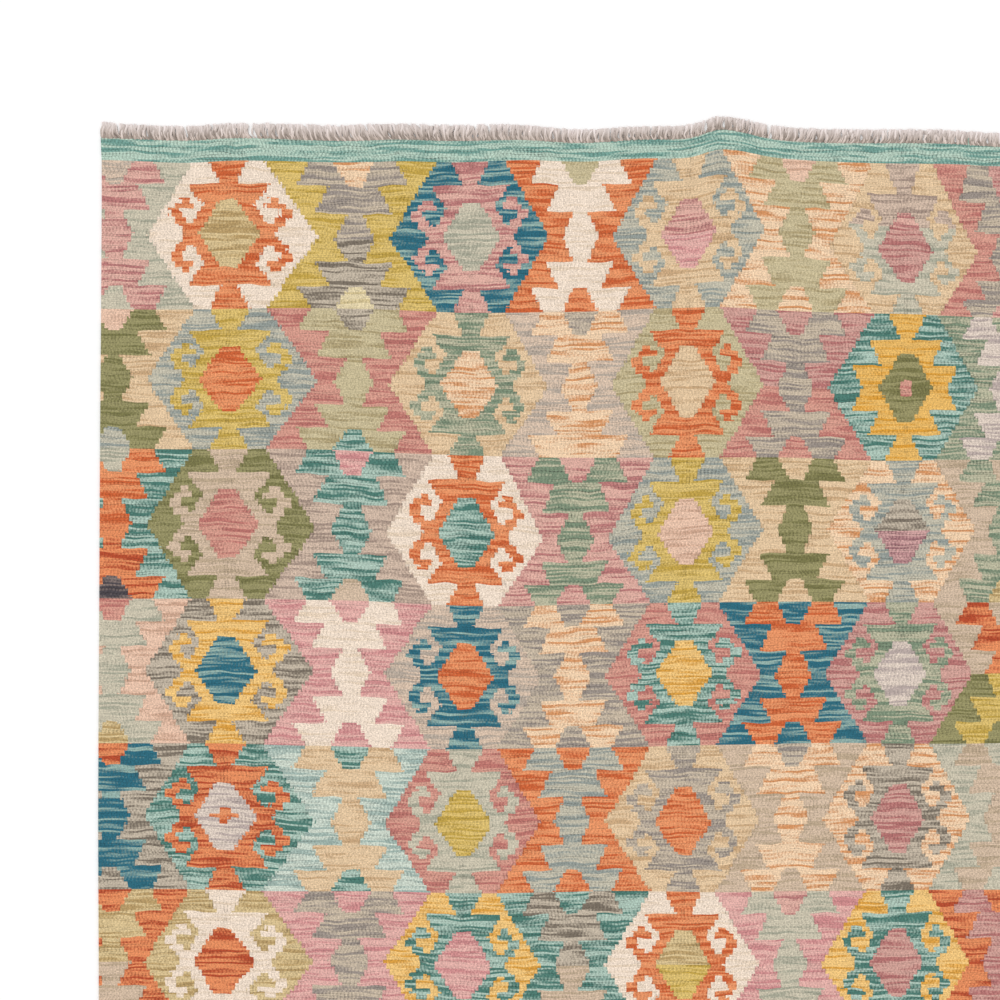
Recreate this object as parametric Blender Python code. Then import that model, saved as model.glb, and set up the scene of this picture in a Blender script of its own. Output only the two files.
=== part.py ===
"""A flat-woven wool kilim rug with a short cut warp fringe at each end.

Units are metres. X runs along the weft, across the rug, +Y runs along the warp towards the
rug's top end, and +Z is up. The rug lies flat, with its underside on Z = 0.
"""

import random

import bmesh
import bpy

# Driving dimensions.
RUG_WIDTH = 1.700            # selvedge to selvedge
CLOTH_LENGTH = 2.430         # woven length, without the fringes
CLOTH_THICKNESS = 0.003      # weft-faced wool on a thick warp
EDGE_CHAMFER = 0.0007        # the rounded rim of the weave

FRINGE_LENGTH = 0.0185       # from the cloth's end to the yarn tips
FRINGE_THICKNESS = 0.0022
ROOT_STRIP_DEPTH = 0.0022    # the twisted roots, fused into one narrow strip
FRINGE_GAP = 0.0003          # the cloth's end to the strip
LOCKS_PER_END = 144          # fewer and wider than the real fringe's strands
LOCK_WIDTH_SHARE = 0.66      # a lock's root width, as a share of its pitch
THIN_LOCK_SHARE = 0.33
LENGTH_SCATTER = 0.07
LEAN_SCATTER = 0.05
RANDOM_SEED = 5

LOCK_PITCH = RUG_WIDTH / LOCKS_PER_END
STRIP_INSET = 0.001          # the strip's ends, back from the rug's corners
SIDE_SPANS = 60              # straight spans along each selvedge

# The sway of the four edges: (distance along the edge, outward shift). The top edge is
# pulled up in one place by a tight warp, and droops beyond it.
TOP_SWAY = (
    (0.000, 0.0000), (0.105, -0.0030), (0.174, 0.0000), (0.300, -0.0038), (0.374, -0.0020),
    (0.436, -0.0038), (0.524, -0.0025), (0.600, -0.0062), (0.674, -0.0020), (0.735, -0.0005),
    (0.776, 0.0102), (0.842, -0.0020), (0.911, -0.0062), (1.049, -0.0069), (1.124, -0.0110),
    (1.300, -0.0100), (1.500, -0.0050), (1.700, 0.0000),
)
BOTTOM_SWAY = (
    (0.000, 0.0000), (0.420, 0.0030), (0.850, -0.0020), (1.300, 0.0030), (1.700, 0.0000),
)
# Distances along the two selvedges run from the top end down.
LEFT_SWAY = (
    (0.000, 0.0000), (0.030, -0.0012), (0.200, -0.0005), (0.360, 0.0008), (0.600, 0.0020),
    (0.850, 0.0032), (1.050, 0.0025), (1.500, 0.0030), (2.000, 0.0010), (2.430, 0.0000),
)
RIGHT_SWAY = (
    (0.000, 0.0000), (0.600, 0.0020), (1.250, -0.0010), (1.900, 0.0020), (2.430, 0.0000),
)

# The fringe's lean: (distance along the end from the left, sideways run per unit of length).
TOP_LEAN = ((0.00, -0.34), (0.55, -0.22), (0.78, 0.00), (1.00, 0.16), (1.70, 0.24))
BOTTOM_LEAN = ((0.00, -0.12), (0.85, 0.10), (1.70, 0.22))
TOP_THIN_PLACES = (0.198, 0.208, 0.566, 0.756)
BOTTOM_THIN_PLACES = (0.410, 1.230)

# A lock's sections after its root: share of its length, of its width and of its thickness.
LOCK_SECTIONS = ((0.50, 0.92, 0.92), (1.00, 0.50, 0.55))


def smooth_value(knots, place):
    """Read a smooth curve through (place, value) knots, level at its two ends."""
    if place <= knots[0][0]:
        return knots[0][1]
    for index in range(len(knots) - 1):
        left, right = knots[index], knots[index + 1]
        if place > right[0]:
            continue
        span = right[0] - left[0]
        slope_in = knot_slope(knots, index) * span
        slope_out = knot_slope(knots, index + 1) * span
        t = (place - left[0]) / span
        value = left[1] * (2 * t**3 - 3 * t**2 + 1) + right[1] * (3 * t**2 - 2 * t**3)
        return value + slope_in * (t**3 - 2 * t**2 + t) + slope_out * (t**3 - t**2)
    return knots[-1][1]


def knot_slope(knots, index):
    """The curve's slope at one knot, taken across its two neighbours."""
    if index in (0, len(knots) - 1):
        return 0.0
    before, after = knots[index - 1], knots[index + 1]
    return (after[1] - before[1]) / (after[0] - before[0])


def end_edge(sway, x):
    """The outward shift of an end edge at x, straight between the lock stations.

    The cloth and its fringe share these stations, so the gap between them stays even.
    """
    place = x + RUG_WIDTH / 2
    station = min(int(place / LOCK_PITCH), LOCKS_PER_END - 1)
    share = place / LOCK_PITCH - station
    low = smooth_value(sway, station * LOCK_PITCH)
    high = smooth_value(sway, (station + 1) * LOCK_PITCH)
    return low + (high - low) * share


def top_edge(x):
    return CLOTH_LENGTH / 2 + end_edge(TOP_SWAY, x)


def bottom_edge(x):
    return -CLOTH_LENGTH / 2 - end_edge(BOTTOM_SWAY, x)


def cloth_outline():
    """The cloth's outline, anticlockwise from its bottom left corner."""
    half = RUG_WIDTH / 2
    stations = [index * LOCK_PITCH - half for index in range(LOCKS_PER_END + 1)]
    depths = [CLOTH_LENGTH * index / SIDE_SPANS for index in range(1, SIDE_SPANS)]
    points = [(x, bottom_edge(x)) for x in stations]
    for depth in reversed(depths):
        points.append((half + smooth_value(RIGHT_SWAY, depth), CLOTH_LENGTH / 2 - depth))
    points += [(x, top_edge(x)) for x in reversed(stations)]
    for depth in depths:
        points.append((-half - smooth_value(LEFT_SWAY, depth), CLOTH_LENGTH / 2 - depth))
    return points


def add_object(name, bm, material):
    """Turn a closed bmesh into a named object with its faces pointing out."""
    bmesh.ops.recalc_face_normals(bm, faces=bm.faces[:])
    mesh = bpy.data.meshes.new(name)
    bm.to_mesh(mesh)
    bm.free()
    mesh.materials.append(material)
    obj = bpy.data.objects.new(name, mesh)
    bpy.context.scene.collection.objects.link(obj)
    return obj


def make_cloth(material):
    """The woven cloth: one flat slab with the rug's uneven outline and a rounded rim."""
    bm = bmesh.new()
    underside = bm.faces.new([bm.verts.new((x, y, 0.0)) for x, y in cloth_outline()])
    raised = bmesh.ops.extrude_face_region(bm, geom=[underside], use_keep_orig=True)
    top_verts = [item for item in raised["geom"] if isinstance(item, bmesh.types.BMVert)]
    bmesh.ops.translate(bm, verts=top_verts, vec=(0.0, 0.0, CLOTH_THICKNESS))
    cloth = add_object("kilim_cloth", bm, material)
    rim = cloth.modifiers.new("rim", "BEVEL")
    rim.width = EDGE_CHAMFER
    rim.segments = 1
    rim.limit_method = "ANGLE"
    return cloth


def lock_widths(thin_places):
    """Each lock's root width, from the left, with thin locks where yarn has worn away."""
    widths = []
    for index in range(LOCKS_PER_END):
        centre = (index + 0.5) * LOCK_PITCH
        is_thin = any(abs(centre - place) < LOCK_PITCH / 2 for place in thin_places)
        widths.append(LOCK_PITCH * (THIN_LOCK_SHARE if is_thin else LOCK_WIDTH_SHARE))
    return widths


def strip_section(bm, x, near, outward):
    """Four corners of the root strip at x: near low, near high, far low, far high."""
    far = near + outward * ROOT_STRIP_DEPTH
    places = ((near, 0.0), (near, FRINGE_THICKNESS), (far, 0.0), (far, FRINGE_THICKNESS))
    return [bm.verts.new((x, y, z)) for y, z in places]


def grow_lock(bm, root, outward, length, lean):
    """Draw one lock out of its root face, narrowing and leaning, level on the floor."""
    start = root.calc_center_median()
    width = max(vert.co.x for vert in root.verts) - min(vert.co.x for vert in root.verts)
    face = root
    for reach, width_share, height_share in LOCK_SECTIONS:
        face = bmesh.ops.extrude_discrete_faces(bm, faces=[face])["faces"][0]
        middle = start.x + lean * length * reach
        mean_x = face.calc_center_median().x
        for vert in face.verts:
            side = 1.0 if vert.co.x > mean_x else -1.0
            high = vert.co.z > FRINGE_THICKNESS * 0.1
            vert.co.x = middle + side * width * width_share / 2
            vert.co.y = start.y + outward * length * reach
            vert.co.z = FRINGE_THICKNESS * height_share if high else 0.0


def make_fringe(name, edge, outward, lean_knots, thin_places, material):
    """One end's fringe: locks of cut warp yarn drawn out of their narrow root strip."""
    rng = random.Random(RANDOM_SEED)
    half = RUG_WIDTH / 2
    widths = lock_widths(thin_places)
    bounds = [STRIP_INSET - half]
    for index, width in enumerate(widths):
        centre = (index + 0.5) * LOCK_PITCH - half
        bounds += [centre - width / 2, centre + width / 2]
    bounds.append(half - STRIP_INSET)

    bm = bmesh.new()
    sections = [strip_section(bm, x, edge(x) + outward * FRINGE_GAP, outward) for x in bounds]
    roots = []
    for index, (left, right) in enumerate(zip(sections, sections[1:])):
        for a, b in ((0, 1), (1, 3), (2, 0)):
            bm.faces.new((left[a], left[b], right[b], right[a]))
        far_face = bm.faces.new((left[3], left[2], right[2], right[3]))
        if index % 2 == 1:
            roots.append(far_face)
    for end in (sections[0], sections[-1]):
        bm.faces.new((end[0], end[1], end[3], end[2]))
    bmesh.ops.recalc_face_normals(bm, faces=bm.faces[:])

    for index, root in enumerate(roots):
        place = (index + 0.5) * LOCK_PITCH
        length = FRINGE_LENGTH - FRINGE_GAP - ROOT_STRIP_DEPTH
        length *= 1.0 - LENGTH_SCATTER * rng.random()
        lean = smooth_value(lean_knots, place) + LEAN_SCATTER * rng.uniform(-1.0, 1.0)
        grow_lock(bm, root, outward, length, lean)
    return add_object(name, bm, material)


def make_material(name, color, roughness):
    material = bpy.data.materials.new(name)
    material.use_nodes = True
    shader = material.node_tree.nodes["Principled BSDF"]
    shader.inputs["Base Color"].default_value = (*color, 1.0)
    shader.inputs["Roughness"].default_value = roughness
    shader.inputs["Metallic"].default_value = 0.0
    return material


def centre_on_origin(objects):
    """Move the meshes so that the middle of the whole rug's box stands on the origin."""
    corners = [vert.co for obj in objects for vert in obj.data.vertices]
    middle_x = (min(co.x for co in corners) + max(co.x for co in corners)) / 2
    middle_y = (min(co.y for co in corners) + max(co.y for co in corners)) / 2
    for obj in objects:
        for vert in obj.data.vertices:
            vert.co.x -= middle_x
            vert.co.y -= middle_y


def main():
    for obj in list(bpy.data.objects):
        bpy.data.objects.remove(obj, do_unlink=True)
    wool = make_material("dyed_wool", (0.58, 0.50, 0.42), 0.92)
    yarn = make_material("undyed_warp_yarn", (0.60, 0.55, 0.52), 0.90)
    cloth = make_cloth(wool)
    top = make_fringe("fringe_top", top_edge, 1.0, TOP_LEAN, TOP_THIN_PLACES, yarn)
    bottom = make_fringe("fringe_bottom", bottom_edge, -1.0, BOTTOM_LEAN, BOTTOM_THIN_PLACES, yarn)
    centre_on_origin([cloth, top, bottom])


main()
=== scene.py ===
"""A flat-woven wool kilim with cut warp fringes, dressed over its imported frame.

Metres, in the frame's own axes: X across the rug along the weft, +Y along the warp to the
top end, +Z up. The file is laid out as an add-on and is run as a script.
"""

import math
import random
from contextlib import contextmanager
from types import SimpleNamespace

import bpy
import numpy as np
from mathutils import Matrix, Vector, noise


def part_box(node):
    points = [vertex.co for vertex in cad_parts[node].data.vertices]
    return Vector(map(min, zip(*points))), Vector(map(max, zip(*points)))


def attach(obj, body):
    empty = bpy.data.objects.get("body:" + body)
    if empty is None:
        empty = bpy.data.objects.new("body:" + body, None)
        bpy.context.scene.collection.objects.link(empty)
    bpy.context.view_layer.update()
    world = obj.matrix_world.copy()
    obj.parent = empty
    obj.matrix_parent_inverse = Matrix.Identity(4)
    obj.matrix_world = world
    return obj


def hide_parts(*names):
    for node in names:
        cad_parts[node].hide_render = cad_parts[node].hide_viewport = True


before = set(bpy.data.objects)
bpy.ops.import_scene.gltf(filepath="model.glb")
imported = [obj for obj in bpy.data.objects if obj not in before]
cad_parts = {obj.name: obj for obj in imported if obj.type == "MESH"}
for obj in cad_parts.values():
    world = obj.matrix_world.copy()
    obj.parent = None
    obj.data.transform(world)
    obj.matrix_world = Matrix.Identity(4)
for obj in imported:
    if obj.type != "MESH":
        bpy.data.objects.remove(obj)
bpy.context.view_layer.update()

bl_info = {
    "name": "Kilim rug",
    "version": (1, 0, 0),
    "blender": (4, 5, 0),
    "location": "3D View > Sidebar > Kilim",
    "description": "Weaves a slit-tapestry kilim and its cut warp fringes over a packed frame",
    "category": "Add Mesh",
}

# ---------- the cloth's outline

RUG_WIDTH = 1.7
CLOTH_LENGTH = 2.43

# The four edges' sway, as in the solid: (distance along the edge, outward shift).
TOP_SWAY = (
    (0, 0), (0.105, -0.003), (0.174, 0), (0.3, -0.0038), (0.374, -0.002), (0.436, -0.0038),
    (0.524, -0.0025), (0.6, -0.0062), (0.674, -0.002), (0.735, -0.0005), (0.776, 0.0102),
    (0.842, -0.002), (0.911, -0.0062), (1.049, -0.0069), (1.124, -0.011), (1.3, -0.01),
    (1.5, -0.005), (1.7, 0),
)
BOTTOM_SWAY = ((0, 0), (0.42, 0.003), (0.85, -0.002), (1.3, 0.003), (1.7, 0))
LEFT_SWAY = (
    (0, 0), (0.03, -0.0012), (0.2, -0.0005), (0.36, 0.0008), (0.6, 0.002), (0.85, 0.0032),
    (1.05, 0.0025), (1.5, 0.003), (2, 0.001), (2.43, 0),
)
RIGHT_SWAY = ((0, 0), (0.6, 0.002), (1.25, -0.001), (1.9, 0.002), (2.43, 0))
# The long droop alone, without the short ripples and the pulled-up warp.
TOP_DROOP = ((0, 0), (0.55, -0.003), (0.8, -0.005), (1.12, -0.0105), (1.3, -0.01), (1.7, 0))

# How far down from the top end each keeps its strength: (depth, share).
DROOP_FADE = ((0, 1), (0.36, 1), (0.57, 0.35), (0.76, 0))
RIPPLE_FADE = ((0, 1), (0.03, 0.92), (0.1, 0.55), (0.2, 0.18), (0.32, 0))
BOTTOM_FADE = ((0, 1), (0.4, 0))  # measured up from the bottom end
RIM_SHARES = (0.0, 0.72, 1.0)  # the thickness at the rim's three mesh lines
FLOOR_GAP = 0.0002
WAVE_SWING = 0.0022  # how far the weft lines wave
WAVE_FADE = 0.08  # and how far from an end they start to
MAP_MARGIN = 0.004

# ---------- the pattern's layout

BAND_DEPTH = 0.025  # the plain end band
BAND_SPANS = 3
SEEN_ROW_HEIGHTS = (0.1875, 0.1725, 0.1875, 0.1835, 0.183)
PATTERN_ROWS = 13
# Figure and medallion centres in turn, from the left selvedge.
COLUMN_PLACES = (
    0.016, 0.16, 0.315, 0.455, 0.596, 0.737, 0.868, 0.998, 1.125, 1.262, 1.402, 1.543, 1.684,
)
MEAN_REPEAT = (COLUMN_PLACES[-1] - COLUMN_PLACES[0]) / (len(COLUMN_PLACES) - 1) * 2
# How far the hand-woven motifs stray sideways and sag, in millimetres: one line a station
# down the pattern, one number a station across. Nothing strays at the top end.
STRAY_ROWS = (-0.15, 0, 1, 2, 3, 4, 5, 6, 9)
STRAY_COLUMNS = (0, 0.16, 0.315, 0.455, 0.596, 0.737, 0.868, 0.998, 1.125, 1.45)
STRAY_SIDEWAYS = (
    (0, 0, 0, 0, 0, 0, 0, 0, 0, 0),
    (0, -3, 1, 5, 3, -1, 3, 3, 3, 0),
    (0, 0, 3, 8, 2, -3, -1, 9, 7, 0),
    (0, 0, 1, 3, 0, -4, 0, 5, 4, 0),
    (0, -2, -1, 2, -6, -7, -2, 2, 2, 0),
    (0, -3, 0, 1, -5, -7, -3, -1, 0, 0),
    (0, -3, 1, 0, -5, -7, -6, -2, -1, 0),
    (0, -7, -2, -1, -5, -7, -5, -3, -2, 0),
    (0, 0, 3, 0, 4, 0, -3, 0, 2, 0),
)
SAG_ROWS = (-0.15, 0, 0.5, 1, 1.5, 2, 2.5, 3, 3.5, 4, 4.5, 5, 6, 8)
SAG = (
    (0, 0, 0, 0, 0, 0, 0, 0, 0, 0),
    (3, 4, 2, 2, -1, -1, -2, 1, 0, 0),
    (1, 1, 5, 2, 1, -1, -7, 2, 1, 0),
    (1, 1, -1, 4, 1, -4, -2, -1, 1, 0),
    (1, 1, 6, 9, 10, 0, 6, 4, 4, 0),
    (2, 3, 5, 10, 12, 10, 8, 10, 7, 0),
    (2, 4, 10, 15, 21, 11, 6, 7, 5, 0),
    (2, 3, 4, 12, 9, 7, 5, 6, 4, 0),
    (0, 0, 3, 9, 9, 4, 6, 5, 3, 0),
    (1, 1, 5, 8, 6, 3, 1, 0, 0, 0),
    (0, 0, 9, 9, 7, 6, 3, 2, 1, 0),
    (0, 0, 3, 4, 3, 2, 2, 1, 0, 0),
    (-3, -5, -4, 2, 4, 2, 1, -2, 0, 0),
    (0, 0, 2, 0, -2, 0, 1, 2, 0, 0),
)
# Motifs woven late in their row, by row and place in the tables below: the share of a row
# by which the middle lags and, for a medallion, the height at which its lower yarns start.
LATE_MEDALLIONS = {(0, 3): (0.07, 0.4)}
LATE_FIGURES = {(0, 4): 0.115}
SEED = 11

LEAST_REACH = 0.002
STEPPED_EYE = 0.027  # the stepped motif's smaller eye
SLIT_SHARE = 0.6  # how near an edge a slit may lie, as a share of a rib

# ---------- the motifs' charts
# Height runs from the row's middle line (0) to its edge (1). Reach is a share of one
# pattern repeat, from the medallion's centre, or from the figure's for the last two.

HEXAGON = ((0, 0.354), (1, 0.15))
HEART = ((0, 0.13), (0.47, 0.031), (0.472, 0))
HOOK_BODY = (
    (0, 0.19), (0.14, 0.215), (0.142, 0.155), (0.3, 0.125), (0.41, 0.105), (0.52, 0.141),
    (0.68, 0.17), (0.682, 0.031), (1, 0.083),
)
HOOK_INNER = (
    (0.14, 0.18), (0.228, 0.18), (0.23, 0.205), (0.358, 0.205), (0.36, 0.148), (0.438, 0.148),
    (0.44, 0.166), (0.51, 0.166),
)
HOOK_OUTER = (
    (0.138, 0), (0.14, 0.232), (0.228, 0.232), (0.23, 0.255), (0.358, 0.255), (0.36, 0.232),
    (0.438, 0.232), (0.44, 0.208), (0.51, 0.208), (0.512, 0),
)
STEPPED_BODY = (
    (0, 0.196), (0.3, 0.25), (0.302, 0.12), (0.34, 0.122), (0.63, 0.171), (0.632, 0.028),
    (1, 0.09),
)
FIGURE = (
    (0, 0.0845), (0.31, 0.034), (0.34, 0.036), (0.342, 0.156), (0.69, 0.1), (0.692, 0.231),
    (1, 0.176),
)
NOTCH = ((0.688, 0), (0.692, 0.029), (1, 0.084))
EYE = ((0, 0.056), (0.026, 0.056), (0.028, 0.022), (0.1, 0.02), (0.102, 0))

# ---------- the fringes' layout

# The fringe's lean: (distance along the end from the left, sideways run per unit of length).
TOP_LEAN = (
    (0, -0.34), (0.21, -0.3), (0.28, -0.5), (0.38, -0.52), (0.45, -0.24), (0.55, -0.22), (0.78, 0),
    (0.85, 0.26), (0.95, 0.28), (1.02, 0.1), (1.08, -0.08), (1.25, 0.16), (1.7, 0.24),
)
BOTTOM_LEAN = ((0, -0.12), (0.85, 0.1), (1.7, 0.22))
# How long the fringe is: (distance along the end, share of its usual length).
FRINGE_REACH = (
    (0, 1.17), (0.02, 1.03), (0.17, 1), (0.23, 1.08), (0.5, 1.08), (0.61, 0.93), (0.75, 0.93),
    (0.92, 0.95), (1.15, 0.95), (1.7, 1),
)
TOP_THIN_PLACES = (0.193, 0.209, 0.756, 0.778, 0.811, 0.835)
BOTTOM_THIN_PLACES = (0.41, 1.23)

WEFT_END_PLACE = 1.084
WEFT_END_WIDTH = 0.002
WEFT_END_LENGTH = 0.0105
WEFT_END_LIE = (-0.12, 0.1, 0.0, 0.4)  # its lean, sag, bow and turn

# A two-ply yarn's section: eight points of a figure of eight, and how near its crest each is.
PLY_SECTION = (
    (0, 0.17, 0), (-0.28, 0.27, 0.8), (-0.5, 0, 1), (-0.28, -0.27, 0.8), (0, -0.17, 0),
    (0.28, -0.27, 0.8), (0.5, 0, 1), (0.28, 0.27, 0.8),
)
# A yarn's sections: share of the length past the cloth's end, and of the full width. The
# first two lie in the weft's last passes, and the third is the loop that ties them off.
YARN_SECTIONS = (
    (-0.1, 0.6), (-0.01, 1.14), (0.1, 1.22), (0.28, 0.78), (0.52, 0.98), (0.84, 1.12), (1, 1.02),
)
PLY_TURNS = 0.45  # turns of the two plies about each other in one length
HALF_YARN_HEIGHT = 0.0013
YARN_FLATNESS = 0.72
LEAST_HEIGHT = 0.0001
HAIR_WIDTH = 0.00026
HAIRS_PER_YARN = 3
YARN_WIDTHS = (1.0, 1.15, 0.5)  # of top, under and fine yarns, as shares of the usual one
FINE_SHARE = 1.4  # fine yarns for each yarn of the top row

# The photograph's frame: its middle from the rug's left and top edges, and its width.
VIEW_CENTRE = (0.49875, 0.4525)
VIEW_WIDTH = 1.25
SENSOR_WIDTH = 36.0
SUN_AIM = (1.0, -1.0, -1.7)
FLOOR_DROP = 0.0004
FLOOR_CLOUDS = 1.5

# ---------- the dyed yarns
# Main shade, streak shade and the share of the yarn that is streaked, in hundredths.

YARNS = dict(
    cream=((90, 83, 76), (85, 77, 68), 25),
    sand=((85, 74, 60), (75, 62, 47), 30),
    tan=((79, 70, 61), (70, 62, 52), 35),
    taupe=((78, 69, 62), (62, 54, 49), 40),
    grey=((73, 68, 61), (46, 42, 37), 40),
    pale_grey=((81, 72, 64), (68, 63, 58), 40),
    pale_pink=((87, 73, 64), (76, 61, 52), 30),
    peach=((90, 78, 65), (80, 55, 36), 35),
    pink=((85, 66, 63), (77, 52, 52), 40),
    rose=((83, 65, 60), (69, 45, 44), 40),
    rose_red=((80, 58, 52), (70, 43, 40), 40),
    mauve=((78, 60, 56), (67, 42, 41), 40),
    lilac=((83, 77, 72), (69, 63, 61), 35),
    orange=((87, 56, 38), (76, 36, 19), 40),
    rust=((86, 53, 35), (68, 28, 16), 40),
    gold=((90, 74, 47), (82, 59, 23), 35),
    deep_gold=((87, 69, 38), (82, 58, 19), 35),
    mustard=((82, 71, 42), (72, 60, 26), 40),
    pale_yellow=((85, 79, 64), (79, 72, 54), 30),
    moss=((81, 72, 54), (68, 57, 38), 40),
    sage=((75, 70, 56), (64, 58, 43), 30),
    forest=((57, 55, 38), (45, 44, 27), 40),
    mint=((76, 73, 65), (62, 62, 55), 30),
    sea_green=((70, 69, 59), (46, 53, 44), 50),
    teal=((65, 74, 69), (28, 46, 42), 50),
    petrol=((15, 39, 46), (56, 67, 64), 38),
    light_blue=((73, 71, 64), (55, 58, 56), 45),
    steel=((75, 69, 61), (57, 53, 50), 45),
    slate=((50, 44, 42), (28, 26, 28), 50),
    aqua=((77, 81, 76), (59, 67, 64), 45),
    plum=((77, 60, 59), (59, 41, 43), 50),
    end_band=((69, 78, 72), (43, 60, 56), 45),
)
YARN_NAMES = list(YARNS)
BAND_YARN = YARN_NAMES.index("end_band")
RAMP_STOPS = 32
WOOL_FUZZ = 600.0  # how fine the fibres' unevenness is, on cloth and on a yarn
YARN_FUZZ = 1500.0

# One line a row of the pattern, one entry a medallion: hexagon, hooks, heart and, where it
# has one, the heart's eye. After a slash comes the yarn of the lower half.
MEDALLIONS = (
    ("cream orange moss", "petrol rose mint", "light_blue sand rose/pink",
     "sand taupe/mint rose/mauve"),
    ("light_blue mustard orange", "sand sea_green peach", "sage orange sand",
     "teal deep_gold forest rose_red stepped"),
    ("forest tan rose_red", "cream orange teal", "light_blue mustard pale_pink",
     "peach light_blue grey/plum"),
    ("grey gold petrol", "pale_grey petrol orange", "rose_red teal gold", "mauve sea_green lilac"),
    ("teal rust lilac orange", "rose_red mint mustard", "sand steel orange", "peach grey mauve"),
    ("moss cream rust", "gold teal pink", "cream orange moss/mustard", "gold teal mauve"),
)
# One entry a figure: ground, figure, and the wedge at its top / at its bottom.
FIGURES = (
    ("mint rose pale_grey/mint", "mustard steel/grey peach/pale_yellow",
     "orange cream sage/orange", "peach sage pale_pink/peach", "rose_red steel mauve/rose"),
    ("sand forest pale_pink/light_blue", "rose_red sage grey/teal", "pale_grey peach steel/peach",
     "mauve/rose_red steel mauve/rose_red", "sea_green lilac sea_green"),
    ("teal orange/rust mint/slate", "taupe teal pink/tan", "rose sea_green rose",
     "sand forest sand", "tan sea_green tan/moss"),
    ("pale_pink mint rose_red/moss", "pink cream pink", "steel peach steel",
     "petrol orange petrol", "tan/forest rust/mustard tan/forest"),
    ("grey petrol rust/grey", "aqua sand teal", "orange light_blue orange", "tan peach steel/tan",
     "mint tan mint"),
    ("rust moss/tan rust", "pink steel pink", "teal grey/tan teal", "pink mint rose",
     "rust mauve rust"),
)


def smooth(knots, places):
    """Read a smooth curve through (place, value) knots, level at and past its two ends."""
    at, value = np.array(knots, float).T
    slope = np.zeros(len(at))
    slope[1:-1] = (value[2:] - value[:-2]) / (at[2:] - at[:-2])
    left = np.clip(np.searchsorted(at, places) - 1, 0, len(at) - 2)
    span = at[left + 1] - at[left]
    t = np.clip((places - at[left]) / span, 0.0, 1.0)
    bend = slope[left] * (t**3 - 2 * t**2 + t) + slope[left + 1] * (t**3 - t**2)
    rise = 3 * t**2 - 2 * t**3
    return value[left] * (1 - rise) + value[left + 1] * rise + bend * span


# ---------- sizes and colours


def number(name, description, default, low, high, **more):
    """A setting for one number, whole where its default is."""
    kind = bpy.props.IntProperty if isinstance(default, int) else bpy.props.FloatProperty
    return kind(name=name, description=description, default=default, min=low, max=high, **more)


def length(name, description, default, low, high):
    """A setting for one length, in metres."""
    return number(name, description, default, low, high, unit="LENGTH")


def colour(name, description, default):
    """A setting for one display colour."""
    return bpy.props.FloatVectorProperty(
        name=name, description=description, default=default, min=0.0, max=1.0, size=3,
        subtype="COLOR_GAMMA",
    )


def yarn_colour(name, part, hundredths):
    """A setting for one shade of one yarn."""
    label = name.replace("_", " ").capitalize()
    default = [value / 100 for value in hundredths]
    return colour(f"{label}, {part}", f"The {part} shade of the {label.lower()} yarn", default)


class KilimSizes(bpy.types.PropertyGroup):
    """Sizes of the weave and of the fringe."""

    rib: length("Rib", "Width of one rib, one step of the diagonals", 0.0046, 0.002, 0.02)
    passes_per_row: number("Passes a row", "Double weft passes in one row", 78, 10, 200)
    thickness: length("Thickness", "Thickness of the woven cloth", 0.0024, 0.001, 0.006)
    rim: length("Rounded rim", "Width of the cloth's rounded edge", 0.0016, 0.0005, 0.005)
    ripple: length("Ripple", "Height of the cloth's soft unevenness", 0.0008, 0.0, 0.005)
    mesh_spans: number("Mesh spans", "Mesh spans across half a pattern repeat", 12, 4, 20)
    yarn_width: length("Fringe yarn width", "Width of one two-ply yarn", 0.0054, 0.001, 0.01)
    yarn_gap: length("Fringe yarn spacing", "From one top yarn to the next", 0.0079, 0.002, 0.02)
    yarn_length: length("Fringe length", "From the cloth's end to the tips", 0.0185, 0.005, 0.1)


class KilimStage(bpy.types.PropertyGroup):
    """The floor, the light and the camera."""

    floor_size: length("Floor size", "Side of the square floor", 9.0, 3.0, 30.0)
    floor_shade: colour("Floor shade", "Colour of the plain floor", (0.995, 0.995, 0.995))
    sky_strength: number("Soft light", "Strength of the light from all round", 0.86, 0.0, 5.0)
    sun_strength: number("Raking light", "Strength of the light from one side", 0.75, 0.0, 10.0)
    lens: number("Lens", "The camera's focal length", 85.0, 20.0, 200.0, subtype="DISTANCE_CAMERA")


class KilimYarns(bpy.types.PropertyGroup):
    """The main and the streak shade of every dyed yarn, and the undyed warp's shades."""

    __annotations__ = {
        **{f"{name}_main": yarn_colour(name, "main", YARNS[name][0]) for name in YARNS},
        **{f"{name}_streak": yarn_colour(name, "streak", YARNS[name][1]) for name in YARNS},
        "warp_root": yarn_colour("warp", "root", (82, 75, 70)),
        "warp_tip": yarn_colour("warp", "tip", (92, 88, 87)),
    }


def linear(shade, alpha=1.0):
    """A display colour as the linear colour that the shaders work in, with its alpha."""
    steps = [((c + 0.055) / 1.055) ** 2.4 if c > 0.04045 else c / 12.92 for c in shade]
    return (*steps, alpha)


# ---------- material helpers


def sum_on(operation):
    """One of the math node's sums, as a method of a Field."""
    return lambda field, *others: field.sketch.math(operation, field, *others)


class Field:
    """A number that varies over the surface: one node's output, with the usual sums on it."""

    def __init__(self, sketch, socket):
        self.sketch, self.socket = sketch, socket

    __add__, __sub__, __mul__ = sum_on("ADD"), sum_on("SUBTRACT"), sum_on("MULTIPLY")
    __pow__, __abs__ = sum_on("POWER"), sum_on("ABSOLUTE")
    __lt__, __gt__ = sum_on("LESS_THAN"), sum_on("GREATER_THAN")
    at_least, at_most = sum_on("MAXIMUM"), sum_on("MINIMUM")
    whole, remainder, cosine = sum_on("FLOOR"), sum_on("FRACT"), sum_on("COSINE")
    scaled = sum_on("MULTIPLY_ADD")  # times the first value, plus the second

    def __rsub__(self, other):
        return self.sketch.math("SUBTRACT", other, self)

    def clamped(self):
        """The same sum, kept between 0 and 1."""
        self.socket.node.use_clamp = True
        return self


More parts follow.
